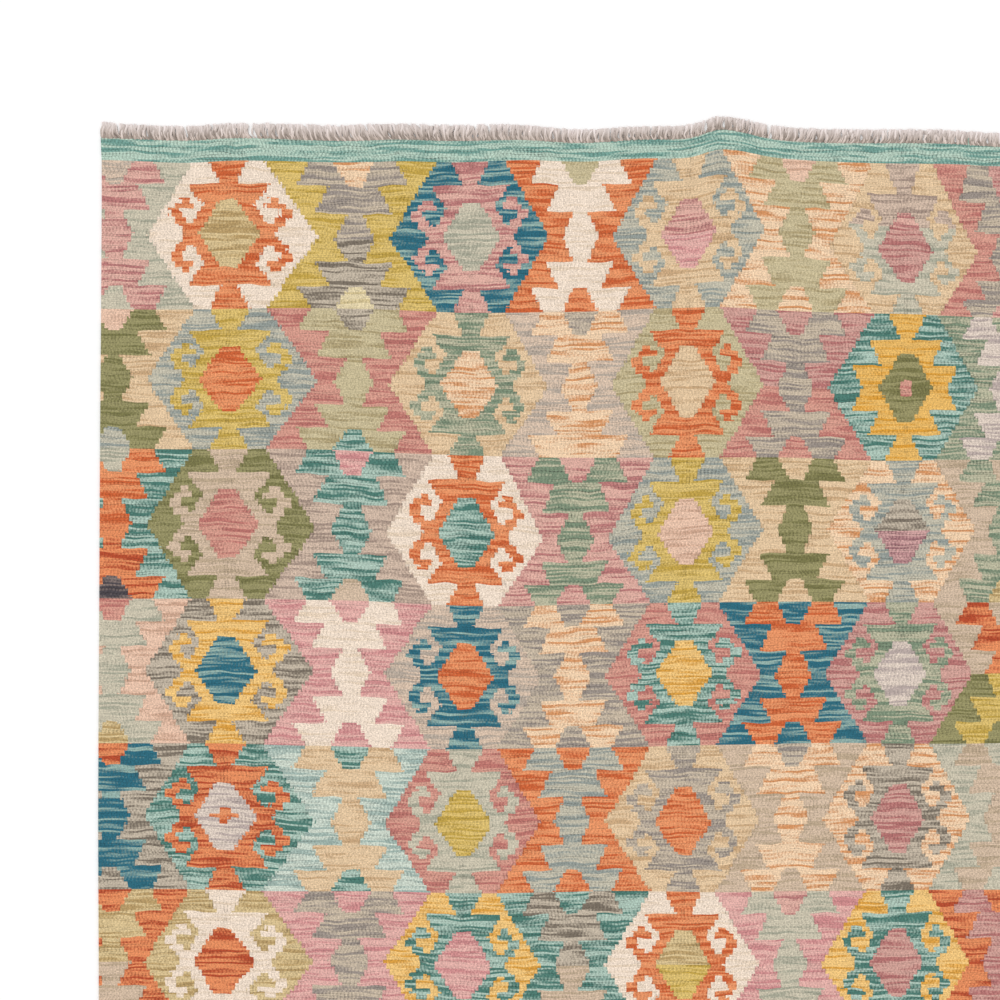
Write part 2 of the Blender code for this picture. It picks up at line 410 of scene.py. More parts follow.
class Sketch:
    """One material's node tree, with short calls to add and join its nodes."""

    def __init__(self, name):
        self.material = bpy.data.materials.new(name)
        self.material.use_nodes = True
        self.tree = self.material.node_tree
        self.shader = self.tree.nodes["Principled BSDF"]

    def join(self, value, socket):
        value = value.socket if isinstance(value, Field) else value
        if isinstance(value, bpy.types.NodeSocket):
            self.tree.links.new(value, socket)
        else:
            socket.default_value = value

    def add(self, kind, inputs=None, **settings):
        node = self.tree.nodes.new(kind)
        for key, value in settings.items():
            setattr(node, key, value)
        for key, value in (inputs or {}).items():
            self.join(value, node.inputs[key])
        return node

    def math(self, operation, *values):
        node = self.add("ShaderNodeMath", dict(enumerate(values)), operation=operation)
        return Field(self, node.outputs[0])

    def pick(self, factor, first, second):
        """first where factor is 0, second where it is 1."""
        inputs = {"Factor": factor, 2: first, 3: second}
        return Field(self, self.add("ShaderNodeMix", inputs, data_type="FLOAT").outputs[0])

    def blend(self, kind, factor, first, second):
        """Two colours mixed in one of the usual ways."""
        inputs = {"Factor": factor, 6: first, 7: second}
        return self.add("ShaderNodeMix", inputs, data_type="RGBA", blend_type=kind).outputs[2]

    def vector(self, x, y, z=0.0):
        return self.add("ShaderNodeCombineXYZ", {"X": x, "Y": y, "Z": z}).outputs[0]

    def parts(self, vector):
        outputs = self.add("ShaderNodeSeparateXYZ", {"Vector": vector}).outputs
        return [Field(self, socket) for socket in outputs]

    def attribute(self, name):
        """The three numbers of one of the mesh's own attributes."""
        return self.parts(self.add("ShaderNodeAttribute", attribute_name=name).outputs["Vector"])

    def noise(self, vector, scale=1.0, detail=1.0, roughness=0.5, output=0):
        """Soft noise: its one number, or its colour where output is 1."""
        inputs = {"Vector": vector, "Scale": scale, "Detail": detail, "Roughness": roughness}
        node = self.add("ShaderNodeTexNoise", inputs, noise_dimensions="2D")
        return Field(self, node.outputs[output])

    def fibres(self, scale):
        """Fine unevenness that lies still on the piece."""
        place = self.add("ShaderNodeTexCoord").outputs["Object"]
        return self.noise(place, scale, 2.0)

    def chance(self, dimensions, **place):
        """A number from 0 to 1 that is another one at every place."""
        node = self.add("ShaderNodeTexWhiteNoise", place, noise_dimensions=dimensions)
        return Field(self, node.outputs["Value"])

    def chart(self, heights, charts):
        """Look up three heights, each in its own chart of (height, reach)."""
        node = self.add("ShaderNodeRGBCurve", {"Color": self.vector(*heights)})
        node.mapping.extend = "HORIZONTAL"
        for curve, places in zip(node.mapping.curves, charts):
            curve.points[0].location = places[0]
            curve.points[-1].location = places[-1]
            for place in places[1:-1]:
                curve.points.new(*place)
            for point in curve.points:
                point.handle_type = "VECTOR"
        node.mapping.update()
        return self.parts(node.outputs["Color"])

    def yarn_table(self, yarn, shades):
        """A stepped table of one colour a yarn, and its alpha as a fourth number."""
        fraction = yarn.scaled(1.0 / RAMP_STOPS, 0.5 / RAMP_STOPS)
        node = self.add("ShaderNodeValToRGB", {"Fac": fraction})
        ramp = node.color_ramp
        ramp.interpolation = "CONSTANT"
        ramp.elements.remove(ramp.elements[-1])
        ramp.elements[0].position = 0.0
        ramp.elements[0].color = shades[0]
        for index in range(1, len(shades)):
            ramp.elements.new(index / RAMP_STOPS).color = shades[index]
        return node.outputs["Color"], Field(self, node.outputs["Alpha"])

    def relief(self, height, strength, distance):
        """Low relief that the light catches."""
        inputs = {"Height": height, "Strength": strength, "Distance": distance}
        return self.add("ShaderNodeBump", inputs).outputs[0]

    def finish(self, color, light, inputs):
        """Shade the colour by the light, and set the shader's other inputs."""
        color = self.blend("MULTIPLY", 1.0, color, self.vector(light, light, light))
        for name, value in {"Base Color": color, **inputs}.items():
            self.join(value, self.shader.inputs[name])
        return self.material


# ---------- the wool


def number_stitches(sketch, sizes, at):
    """Number each stitch from the weave's own places, and say where in it a point lies."""
    passes = at.row.scaled(float(sizes.passes_per_row), at.wave)
    at.level, at.seam = passes.whole(), (passes + 0.5).whole()
    at.across, at.along = at.rib.remainder() - 0.5, passes.remainder() - 0.5
    # The dips between stitches lie elsewhere in every pass.
    spot = sketch.vector(at.rib * 0.04, at.level * 0.63)
    slip = sketch.noise(spot, detail=0.0).scaled(3.0, at.rib) + sketch.chance("1D", W=at.level)
    at.dip = abs((slip.remainder() - 0.5) * 2.0) ** 2.0
    at.own = sketch.chance("2D", Vector=sketch.vector(at.level, slip.whole()))


def chosen_yarn(sketch, sizes, at):
    """Work out which yarn a stitch is woven with, from the motifs' charts."""
    is_stepped, eye_yarn, row = sketch.attribute("motif")
    in_row = ((at.level + 0.5) * (1.0 / sizes.passes_per_row) - row).clamped()
    bend = in_row * in_row.scaled(4.0, -4.0)
    height, beside = (
        abs(bend.scaled(lag, in_row).scaled(2.0, -1.0)) for lag in sketch.attribute("late")[:2]
    )

    rib_share = sizes.rib / MEAN_REPEAT
    centred = at.across.scaled(-rib_share, at.repeat).remainder() - 0.5
    reach = abs(centred) + at.unevenness
    from_figure = (0.5 - reach).at_least(LEAST_REACH)
    reach = reach.at_least(LEAST_REACH)

    hexagon, heart, hook_body = sketch.chart((height,) * 3, (HEXAGON, HEART, HOOK_BODY))
    inner, outer, stepped = sketch.chart((height,) * 3, (HOOK_INNER, HOOK_OUTER, STEPPED_BODY))
    figure, notch, eye = sketch.chart((beside, beside, height), (FIGURE, NOTCH, EYE))

    body = sketch.pick(is_stepped, hook_body, stepped)
    in_arm = (reach < outer * (1.0 - is_stepped)) * (reach > inner)
    in_hooks = (reach < body).at_least(in_arm)
    eye = eye.at_most(sketch.pick(is_stepped, 1.0, STEPPED_EYE))

    plain, hooks, core = sketch.attribute("medallion")
    ground, form, wedge = sketch.attribute("figure")
    inside = sketch.pick(in_hooks, plain, hooks)
    inside = sketch.pick(reach < heart, inside, core)
    inside = sketch.pick(reach < eye, inside, eye_yarn)
    outside = sketch.pick(from_figure < figure, ground, form)
    outside = sketch.pick(from_figure < notch, outside, wedge)
    yarn = sketch.pick(reach < hexagon, outside, inside)

    # The places near a colour edge, where slits lie; the wool material paints shadow there.
    gap = 1.0
    for place, edge in ((reach, hexagon), (reach, heart), (reach, body), (from_figure, figure)):
        gap = abs(place - edge).at_most(gap)
    return yarn, gap < rib_share * SLIT_SHARE


def woven_shade(sketch, yarns, yarn, at):
    """The yarn's colour at one stitch, streaked as the dye took, pass by pass."""
    mains = [linear(getattr(yarns, f"{name}_main"), YARNS[name][2] / 100) for name in YARN_NAMES]
    streaks = [linear(getattr(yarns, f"{name}_streak")) for name in YARN_NAMES]
    main, share = sketch.yarn_table(yarn, mains)
    streak, _ = sketch.yarn_table(yarn, streaks)
    spot = sketch.vector(yarn.scaled(5.17, at.rib * 0.03), at.level * 0.47)
    dye = sketch.noise(spot, detail=2.0, roughness=0.9) - 0.5
    # The dips between stitches take more of the streak shade: where the streak is the darker
    # shade, this is painted shade in the dips.
    took = at.own.scaled(0.3, at.dip.scaled(0.45, share.scaled(2.1, -0.88)))
    amount = dye.scaled(7.0, took).clamped()
    return sketch.blend("MIX", amount, main, streak), share


def stitch_tone_and_painted_shade(sketch, yarn, share, slit_shadow, at):
    """How light each stitch is: its own tone, with painted shade in the seams between passes, in
    the dips between ribs and in open slits.
    """
    light = at.own.scaled(-0.14, 1.18)
    spot = sketch.vector(yarn.scaled(3.7, at.rib * 0.057), at.seam * 0.77)
    # Painted shade along the seams between passes; its depth changes from place to place.
    seam_shade_depth = sketch.noise(spot).scaled(6.0, -3.0).clamped() * share.scaled(-2.6, 0.55)
    seam = abs(at.along * 2.0) ** 3.0 * at.dip.scaled(1.0, 0.5)
    light = seam.scaled(seam_shade_depth - 0.1, light)
    # Painted shade in the dips between ribs, deeper in streaky yarns and in the end band.
    dip_shade_depth = share.scaled(at.comb.scaled(-0.24, -0.1), -0.05)
    in_band = yarn > BAND_YARN - 0.5
    light = at.dip.scaled(in_band.scaled(-0.16, dip_shade_depth), light)

    # Painted shadow in the open slits at the colour edges, darkest at the sides of a rib.
    spot = sketch.vector(at.rib.whole(), (at.level * 0.6).whole())
    shadowed_slit = sketch.chance("2D", Vector=spot).scaled(2.0, -0.9).clamped()
    slit_shadow = slit_shadow * shadowed_slit * abs(at.across * 2.0)
    return slit_shadow.scaled(-0.4, light)


def wool_material(sizes, yarns):
    """Dyed wool in weft-faced slit tapestry, charted stitch by at."""
    sketch = Sketch("dyed_wool")
    rib, repeat, row = sketch.attribute("loom")
    wave, unevenness, comb = sketch.parts(
        sketch.noise(sketch.vector(rib * 0.13, row * 9.0), output=1)
    )
    sway = sketch.noise(sketch.vector(rib * 0.17, row * 17.0))
    at = SimpleNamespace(
        rib=rib + sway.scaled(0.6, -0.3),
        repeat=repeat,
        row=row,
        wave=wave.scaled(2.6, -1.3),
        unevenness=unevenness.scaled(0.016, -0.008),
        comb=comb.scaled(4.0, -1.5).clamped(),
    )
    number_stitches(sketch, sizes, at)
    yarn, slit_shadow = chosen_yarn(sketch, sizes, at)
    shade, share = woven_shade(sketch, yarns, yarn, at)
    fuzz = sketch.fibres(WOOL_FUZZ)
    # The stitch tone and painted shade, times the fibres' own unevenness.
    light = stitch_tone_and_painted_shade(sketch, yarn, share, slit_shadow, at) * fuzz.scaled(1.1, 0.44)
    rib_crest = (at.across * math.pi).cosine()
    height = fuzz.scaled(0.3, (at.along * math.pi).cosine().scaled(0.35, rib_crest))
    return sketch.finish(shade, light, {
        "Normal": sketch.relief(height, 0.55, 0.0005), "Roughness": fuzz.scaled(0.12, 0.84),
        "Specular IOR Level": 0.22, "Sheen Weight": 0.12, "Sheen Roughness": 0.5,
    })


def weft_end_material(yarns):
    """The end band's own dyed wool, on one loose yarn."""
    sketch = Sketch("loose_dyed_weft")
    along, crest, _ = sketch.attribute("yarn")
    main, streak = linear(yarns.end_band_main), linear(yarns.end_band_streak)
    color = sketch.blend("MIX", along, main, streak)
    # Painted shade in the grooves between the two plies, lighter on their crests, with the fibres'
    # own unevenness.
    light = sketch.fibres(YARN_FUZZ).scaled(0.3, crest.scaled(0.3, 0.6))
    return sketch.finish(color, light, {"Roughness": 0.9, "Specular IOR Level": 0.2})


def warp_material(yarns):
    """Undyed plied warp yarn: painted shade low down between the roots, on the under yarns and in
    the grooves between plies; pale at the worn tips.
    """
    sketch = Sketch("undyed_warp_yarn")
    along, crest, own = sketch.attribute("yarn")
    fade = (own.scaled(0.45, along * 0.95) - 0.25).clamped()
    color = sketch.blend("MIX", fade, linear(yarns.warp_root), linear(yarns.warp_tip))
    fuzz = sketch.fibres(YARN_FUZZ)
    # Painted shade low down between the roots and on the under yarns, which lie beneath the top
    # row.
    low = (1.0 - fade) ** 2.0 * (1.0 - own)
    # Painted shade in the grooves between the plies, lighter on their crests.
    light = crest.scaled(0.16, 0.86) * fuzz.scaled(0.3, 0.88)
    light = light * low.scaled(-0.48, 1.0) * own.scaled(0.16, 0.88)
    return sketch.finish(color, light, {
        "Normal": sketch.relief(fuzz, 0.4, 0.0003), "Roughness": 0.9,
        "Specular IOR Level": 0.2, "Sheen Weight": 0.2,
    })


# ---------- mesh helpers


def read(items, name, width=1, kind=float):
    """One number, or a few, from each of a mesh's points, corners or faces."""
    values = np.zeros(len(items) * width, kind)
    items.foreach_get(name, values)
    return values.reshape(-1, width) if width > 1 else values


def write(items, name, values):
    items.foreach_set(name, values.astype(np.float32).ravel())


def add_vectors(mesh, name, domain, values):
    """Write three numbers on every point or face, for a material to read."""
    write(mesh.attributes.new(name, "FLOAT_VECTOR", domain).data, "vector", values)


def deselect_all():
    bpy.ops.object.select_all(action="DESELECT")


@contextmanager
def editing():
    """Edit mode on the active piece, with all of it selected."""
    bpy.ops.object.mode_set(mode="EDIT")
    bpy.ops.mesh.select_all(action="SELECT")
    yield
    bpy.ops.object.mode_set(mode="OBJECT")


def soft_noise(x, y, scale_x, scale_y, seed):
    """Soft noise over a grid of places."""
    places = zip(x.flat, y.flat)
    values = [noise.noise(Vector((a * scale_x, b * scale_y, seed))) for a, b in places]
    return np.array(values).reshape(x.shape)


def finish_piece(piece, material, slot, *nodes):
    """Give a piece its material, and tie it to the frame."""
    piece.data.materials.clear()
    piece.data.materials.append(material)
    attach(piece, "root")
    if nodes:
        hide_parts(*nodes)


# ---------- the cloth's sheet


def count_marks(lines, marks, size):
    """How many marks lie before each mesh line, the first not counted, in even fractions."""
    last = len(marks) - 1
    margin = marks[0] / (marks[-1] - marks[0]) * last
    return np.interp(lines, [0.0, *marks, size], [-margin, *range(last + 1), last + margin])


class ClothPlan:
    """Where the cloth's mesh lines run, and where each point of the weave lies."""

    def __init__(self, sizes):
        low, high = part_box("kilim_cloth")
        self.left = low.x + max(value for _, value in LEFT_SWAY)
        self.top = high.y - max(value for _, value in TOP_SWAY)
        self.sizes = sizes
        self.rim = (0.0, sizes.rim * 0.35, sizes.rim)
        unseen = PATTERN_ROWS - len(SEEN_ROW_HEIGHTS)
        height = (CLOTH_LENGTH - 2 * BAND_DEPTH - sum(SEEN_ROW_HEIGHTS)) / unseen
        self.rows = BAND_DEPTH + np.cumsum([0.0, *SEEN_ROW_HEIGHTS, *[height] * unseen])
        self.across = self.lines(COLUMN_PLACES, RUG_WIDTH)
        self.down = self.lines(self.rows, CLOTH_LENGTH)

    def lines(self, marks, size):
        """Mesh lines that hit every mark, with two close to each edge for the rim."""
        places = list(self.rim)
        stops = [self.rim[-1], *marks, size - self.rim[-1]]
        for left, right in zip(stops, stops[1:]):
            count = self.sizes.mesh_spans if right - left > BAND_DEPTH else BAND_SPANS
            places += [left + (right - left) * step / count for step in range(1, count + 1)]
        return np.array(places + [size - place for place in reversed(self.rim[:-1])])

    def weave_places(self):
        """Each mesh point's place across the cloth, pattern repeat and pattern row."""
        repeat = count_marks(self.across, COLUMN_PLACES, RUG_WIDTH) / 2
        row = count_marks(self.down, self.rows, CLOTH_LENGTH)
        rest_x = self.across[None, :] + self.spread(STRAY_ROWS, STRAY_SIDEWAYS, row)
        return np.broadcast_arrays(rest_x, repeat[None, :], row[:, None])

    def spread(self, rows, table, row):
        """A table of millimetres drawn out smoothly over the whole mesh."""
        down, across = (
            np.array([smooth(list(zip(knots, unit)), lines) for unit in np.eye(len(knots))])
            for knots, lines in ((rows, row), (STRAY_COLUMNS, self.across))
        )
        return down.T @ np.array(table) @ across * 0.001

    def points(self):
        """The mesh points' places on the floor, and the cloth's middle height there."""
        rest_x, _, row = self.weave_places()
        across, down = self.across, self.down
        share = across / RUG_WIDTH
        left, right = smooth(LEFT_SWAY, down), smooth(RIGHT_SWAY, down)
        x = self.left + rest_x - np.outer(left, 1 - share) + np.outer(right, share)
        droop = smooth(TOP_DROOP, across)
        ripple = smooth(TOP_SWAY, across) - droop
        bottom = smooth(BOTTOM_SWAY, across)
        y = self.top - down[:, None] + np.outer(smooth(DROOP_FADE, down), droop)
        y = y + np.outer(smooth(RIPPLE_FADE, down), ripple)
        y = y - np.outer(smooth(BOTTOM_FADE, CLOTH_LENGTH - down), bottom)
        y = y - self.spread(SAG_ROWS, SAG, row[:, 0])
        return x, y + self.row_waves(x, y), self.heights(x, y)

    def row_waves(self, x, y):
        """The small waves of the weft lines, which die out at the two ends."""
        inside = np.minimum(self.down, CLOTH_LENGTH - self.down) / WAVE_FADE
        waves = soft_noise(x, y, 7.0, 4.0, 3.0) * WAVE_SWING
        return waves * np.clip(inside, 0, 1)[:, None]

    def heights(self, x, y):
        """The cloth's middle height, with soft ripples and the lift of the pulled warp."""
        soft = (soft_noise(x, y, 3.1, 2.3, 9.0) * 0.5 + 0.5) * self.sizes.ripple
        pulled = max(TOP_SWAY, key=lambda knot: knot[1])[0]
        near = np.exp(-(((self.across - pulled) / 0.05) ** 2))
        lift = np.outer(np.exp(-self.down / 0.10), near) * self.sizes.ripple
        return FLOOR_GAP + self.sizes.thickness / 2 + soft + lift

    def half_thickness(self):
        """Half the cloth's thickness over the mesh, falling to nothing at the rim."""
        columns, rows = (
            np.interp(np.minimum(lines, size - lines), self.rim, RIM_SHARES)
            for lines, size in ((self.across, RUG_WIDTH), (self.down, CLOTH_LENGTH))
        )
        return self.sizes.thickness / 2 * np.minimum(rows[:, None], columns[None, :])


def yarn_numbers(table, row, column, lower):
    """The yarn numbers of a cell's upper or lower half, and its words.

    Cells past the seen ones borrow another's by a fixed stride.
    """
    if row >= len(table) or column >= len(table[row]):
        seen = len(table[0])
        row, column = (row * 5 + column * 4 + 1) % len(table), (column * 3 + row * 2) % seen
    words = [word.split("/")[-1 if lower else 0] for word in table[row][column].split()]
    return [YARN_NAMES.index(word) for word in words if word in YARN_NAMES], words


def cell_charts(place, phase):
    """One face's medallion yarns, figure yarns, motif numbers and lags."""
    row = math.floor(place)
    if not 0 <= row < PATTERN_ROWS:
        return (BAND_YARN,) * 3, (BAND_YARN,) * 3, (0, BAND_YARN, row), (0, 0, 0)
    column = min(max(math.floor(phase), 0), len(COLUMN_PLACES) // 2 - 1)
    late, change = LATE_MEDALLIONS.get((row, column), (0.0, 0.5))
    yarns, words = yarn_numbers(MEDALLIONS, row, column, place - row > change)
    motif = ("stepped" in words, yarns[-1], row)
    column = math.floor(phase + 0.5)
    figure, _ = yarn_numbers(FIGURES, row, column, place - row > 0.5)
    return yarns[:3], figure, motif, (late, LATE_FIGURES.get((row, column), 0.0), 0)


def face_charts(plan):
    """The four charts of every top face, each as an array of three numbers a face."""
    _, repeat, row = plan.weave_places()
    phases = (repeat[0, :-1] + repeat[0, 1:]) / 2
    places = (row[:-1, 0] + row[1:, 0]) / 2
    cells = [cell_charts(place, phase) for place in places for phase in phases]
    return [np.array(values, float) for values in zip(*cells)]


def add_bake_map(mesh):
    """A plain map from above, shared by both faces, because the weave goes right through."""
    flat = read(mesh.vertices, "co", 3)[:, :2]
    low, size = flat.min(0), np.ptp(flat, axis=0).max()
    corners = read(mesh.loops, "vertex_index", kind=int)
    layer = mesh.uv_layers.new(name="OFBake")
    write(layer.data, "uv", MAP_MARGIN + (flat[corners] - low) / size * (1 - 2 * MAP_MARGIN))


class KILIM_OT_cloth(bpy.types.Operator):
    """Weave the kilim's cloth as one sheet with its pattern"""

    bl_idname = "kilim.cloth"
    bl_label = "Weave the cloth"

    def execute(self, context):
        sizes = context.scene.kilim_sizes
        plan = ClothPlan(sizes)
        deselect_all()
        bpy.ops.mesh.primitive_grid_add(
            x_subdivisions=len(plan.across) - 1, y_subdivisions=len(plan.down) - 1, size=1.0,
        )
        cloth = context.active_object
        cloth.name = "woven_cloth"
        self.lay_out(cloth.data, plan)
        self.close_underside(cloth.data)
        add_bake_map(cloth.data)
        bpy.ops.object.shade_smooth()
        wool = wool_material(sizes, context.scene.kilim_yarns)
        finish_piece(cloth, wool, "dyed_wool", "kilim_cloth")
        return {"FINISHED"}

    @staticmethod
    def lay_out(mesh, plan):
        """Move the grid's points to their places, and write the weave's numbers on it."""
        spans = len(plan.across) - 1
        start = read(mesh.vertices, "co", 3)
        column = np.rint((start[:, 0] + 0.5) * spans).astype(int)
        line = np.rint((0.5 - start[:, 1]) * (len(plan.down) - 1)).astype(int)

        def on_points(*grids):
            return np.stack([grid[line, column] for grid in grids], axis=1)

        x, y, middle = plan.points()
        half = plan.half_thickness()
        write(mesh.vertices, "co", on_points(x, y, middle + half))
        rest_x, repeat, row = plan.weave_places()
        add_vectors(mesh, "loom", "POINT", on_points(rest_x / plan.sizes.rib, repeat, row))
        write(mesh.attributes.new("drop", "FLOAT", "POINT").data, "value", on_points(2 * half))
        corners = read(mesh.polygons, "vertices", 4, int)
        face = line[corners].min(1) * spans + column[corners].min(1)
        for name, values in zip(("medallion", "figure", "motif", "late"), face_charts(plan)):
            add_vectors(mesh, name, "FACE", values[face])
        mesh.update()

    @staticmethod
    def close_underside(mesh):
        """Copy the upper face, drop the copy by the thickness, and merge the two rims."""
        with editing():
            bpy.ops.mesh.duplicate()
            bpy.ops.mesh.flip_normals()
        places = read(mesh.vertices, "co", 3)
        copied = read(mesh.vertices, "select", kind=bool)
        places[:, 2] -= read(mesh.attributes["drop"].data, "value") * copied
        write(mesh.vertices, "co", places)
        mesh.attributes.remove(mesh.attributes["drop"])
        with editing():
            bpy.ops.mesh.remove_doubles(threshold=1e-6)


# ---------- the fringes


def model_yarn(width):
    """Model one straight two-ply yarn of unit length by extruding and turning its section."""
    deselect_all()
    bpy.ops.mesh.primitive_circle_add(vertices=len(PLY_SECTION), radius=1.0, fill_type="NGON")
    yarn = bpy.context.active_object
    first, share = YARN_SECTIONS[0]
    # How near a ply's crest each point is; the yarn materials paint shade into the grooves from
    # it.
    crests = yarn.data.attributes.new("crest", "FLOAT", "POINT")
    for vert, (x, y, crest) in zip(yarn.data.vertices, PLY_SECTION):
        vert.co = (x * width * share, y * width * share, first)
        crests.data[vert.index].value = crest
    with editing():
        for (before, share), (place, wider) in zip(YARN_SECTIONS, YARN_SECTIONS[1:]):
            step = (0.0, 0.0, place - before)
            bpy.ops.mesh.extrude_region_move(TRANSFORM_OT_translate={"value": step})
            middle = (0.0, 0.0, place)
            size = (wider / share, wider / share, 1.0)
            bpy.ops.transform.resize(value=size, center_override=middle)
            turn = (place - before) * PLY_TURNS * math.tau
            bpy.ops.transform.rotate(value=turn, orient_axis="Z", center_override=middle)
        bpy.ops.mesh.select_all(action="SELECT")
        bpy.ops.mesh.normals_make_consistent(inside=False)
    return yarn


def model_hair(width):
    """Model one loose fibre of unit length, a fine three-sided spike."""
    deselect_all()
    bpy.ops.mesh.primitive_cone_add(
        vertices=3, radius1=width / 2, radius2=0.0, depth=1.0, location=(0.0, 0.0, 0.5),
    )
    bpy.ops.object.transform_apply(location=True, rotation=True, scale=True)
    hair = bpy.context.active_object
    for item in hair.data.attributes.new("crest", "FLOAT", "POINT").data:
        item.value = 0.9
    return hair


def lay_yarn(model, root, outward, length, lean, sag, bow, turn, height):
    """A yarn's points, turned about itself, then laid out from its root along the floor."""
    x, y, along = read(model.data.vertices, "co", 3).T
    across = x * math.cos(turn) - y * math.sin(turn)
    up = (x * math.sin(turn) + y * math.cos(turn)) * YARN_FLATNESS
    run = np.maximum(along, 0.0)
    side = lean * run + sag * run**2 + bow * np.sin(run * math.tau * 0.8)
    centre = height + (HALF_YARN_HEIGHT - height) * np.clip(along, 0.0, 1.0)
    z = np.maximum(centre + up, LEAST_HEIGHT)
    return np.stack([root[0] + side * length + across, root[1] + outward * along * length, z], 1)


def lay_hair(model, start, direction, rise, length):
    """A fibre's points, laid from its start in its own direction."""
    x, y, along = read(model.data.vertices, "co", 3).T
    ahead = np.array((math.sin(direction), math.cos(direction)))
    beside = np.array((ahead[1], -ahead[0]))
    flat = start[:2] + np.outer(along * length, ahead) + np.outer(x, beside)
    return np.column_stack([flat, np.maximum(start[2] + along * length * rise + y, LEAST_HEIGHT)])


class FringeEnd:
    """One end's fringe: where its yarns root, and how they lean, thin out and fray."""

    def __init__(self, name, sizes, sway, depth, outward, leans, thin_places):
        self.name, self.sizes, self.plan = name, sizes, ClothPlan(sizes)
        self.sway, self.depth, self.outward = sway, depth, outward
        self.leans, self.thin_places = leans, thin_places
        self.rng = random.Random(f"{SEED} {name}")
        self.points, self.faces, self.values, self.count = [], [], [], 0

    def root(self, place):
        """The cloth's end at a distance from the left selvedge."""
        y = self.plan.top - self.depth + self.outward * smooth(self.sway, place)
        return self.plan.left + place, y

    def add(self, model, points, along, tone_and_shade):
        """Add one laid copy, with how far along the yarn each point is and its own tone, which on
        the under yarns is painted shade.
        """
        crest = read(model.data.attributes["crest"].data, "value")
        for face in model.data.polygons:
            self.faces.append([vertex + self.count for vertex in face.vertices])
        self.points.append(points)
        self.values.append(np.stack([along, crest, np.full(len(crest), tone_and_shade)], axis=1))
        self.count += len(crest)

    def add_yarn(self, model, tone_and_shade, *laid):
        """Lay one yarn from its root and add it."""
        self.add(model, lay_yarn(model, *laid), read(model.data.vertices, "co", 3)[:, 2], tone_and_shade)

    def join(self):
        """Make the one mesh, with the numbers its material reads."""
        mesh = bpy.data.meshes.new(self.name)
        mesh.from_pydata(np.concatenate(self.points).tolist(), [], self.faces)
        add_vectors(mesh, "yarn", "POINT", np.concatenate(self.values))
        piece = bpy.data.objects.new(self.name, mesh)
        bpy.context.scene.collection.objects.link(piece)
        deselect_all()
        piece.select_set(True)
        bpy.context.view_layer.objects.active = piece
        with editing():
            bpy.ops.mesh.normals_make_consistent(inside=False)
        bpy.ops.object.shade_smooth_by_angle(angle=math.radians(70))
        return piece

    def grow(self, yarns, hair, place, under=False, fine=False):
        """Lay one yarn, and fray its tip."""
        rng = self.rng
        thin = any(abs(place - spot) < self.sizes.yarn_gap * 0.38 for spot in self.thin_places)
        if thin and (under or fine):
            return
        # Neighbours share a sideways drift, so the yarns lie in loose bunches.
        drift = noise.noise(Vector((place * 55.0, self.depth, 5.0)))
        lean = smooth(self.leans, place) + 0.22 * drift
        lean += rng.uniform(-0.16, 0.16) * (1.6 if fine else 1.0)
        sag = rng.uniform(-0.16, 0.10)
        bow = 0.07 * math.copysign(1.0, lean) + rng.uniform(-0.08, 0.08)
        length = self.sizes.yarn_length * smooth(FRINGE_REACH, place)
        length *= rng.uniform(0.93, 1.01) * (0.94 if under else 1.0)
        lean = max(lean, (0.002 - place) / length - sag)
        height = HALF_YARN_HEIGHT * (0.75 if under else 1.5 if fine else 1.1)
        # The under yarns get a low tone, which their material turns into painted shade beneath the
        # top row.
        tone_and_shade = rng.uniform(0.0, 0.35) if under else rng.uniform(0.45, 1.0)
        root, turn = self.root(place), rng.uniform(0, math.pi)
        model = yarns[2 if thin or fine else int(under)]
        self.add_yarn(model, tone_and_shade, root, self.outward, length, lean, sag, bow, turn, height)
        for _ in range(HAIRS_PER_YARN):
            start = rng.uniform(0.72, 0.98)
            side = (lean * start + sag * start**2) * length
            spread = rng.uniform(-0.4, 0.4) * self.sizes.yarn_width
            foot = np.array((
                root[0] + side + spread, root[1] + self.outward * start * length,
                HALF_YARN_HEIGHT * rng.uniform(0.5, 1.5),
            ))
            aim = math.atan2(lean + 2 * sag, self.outward) + rng.gauss(0.0, 0.28)
            reach = rng.uniform(0.0010, 0.0026)
            spike = lay_hair(hair, foot, aim, rng.uniform(-0.10, 0.12), reach)
            self.add(hair, spike, np.full(len(spike), 1.0), rng.uniform(0.5, 1.0))

    def build(self):
        """Lay every yarn of this end: the under row, the top row and then the fine ones."""
        pitch, rng = self.sizes.yarn_gap, self.rng
        yarns = [model_yarn(self.sizes.yarn_width * share) for share in YARN_WIDTHS]
        hair = model_hair(HAIR_WIDTH)
        count = int(RUG_WIDTH / pitch)
        for index in range(2 * count - 1):
            place = (index * 0.5 + 0.5 + rng.uniform(-0.15, 0.15)) * pitch
            self.grow(yarns, hair, place, under=True)
        for index in range(count):
            self.grow(yarns, hair, (index + 0.5) * pitch + rng.uniform(-0.1, 0.1) * pitch)
        for _ in range(int(count * FINE_SHARE)):
            self.grow(yarns, hair, rng.uniform(pitch, RUG_WIDTH - pitch), fine=True)
        piece = self.join()
        for model in (*yarns, hair):
            bpy.data.meshes.remove(model.data)
        return piece


class KILIM_OT_fringes(bpy.types.Operator):
    """Lay the cut warp yarns of both ends"""

    bl_idname = "kilim.fringes"
    bl_label = "Lay the fringes"

    def execute(self, context):
        sizes = context.scene.kilim_sizes
        material = warp_material(context.scene.kilim_yarns)
        ends = (
            FringeEnd("top_fringe", sizes, TOP_SWAY, 0.0, 1, TOP_LEAN, TOP_THIN_PLACES),
            FringeEnd("bottom_fringe", sizes, BOTTOM_SWAY, CLOTH_LENGTH, -1,
                      BOTTOM_LEAN, BOTTOM_THIN_PLACES),
        )
        for end, node in zip(ends, ("fringe_top", "fringe_bottom")):
            finish_piece(end.build(), material, "warp_yarn", node)
        return {"FINISHED"}


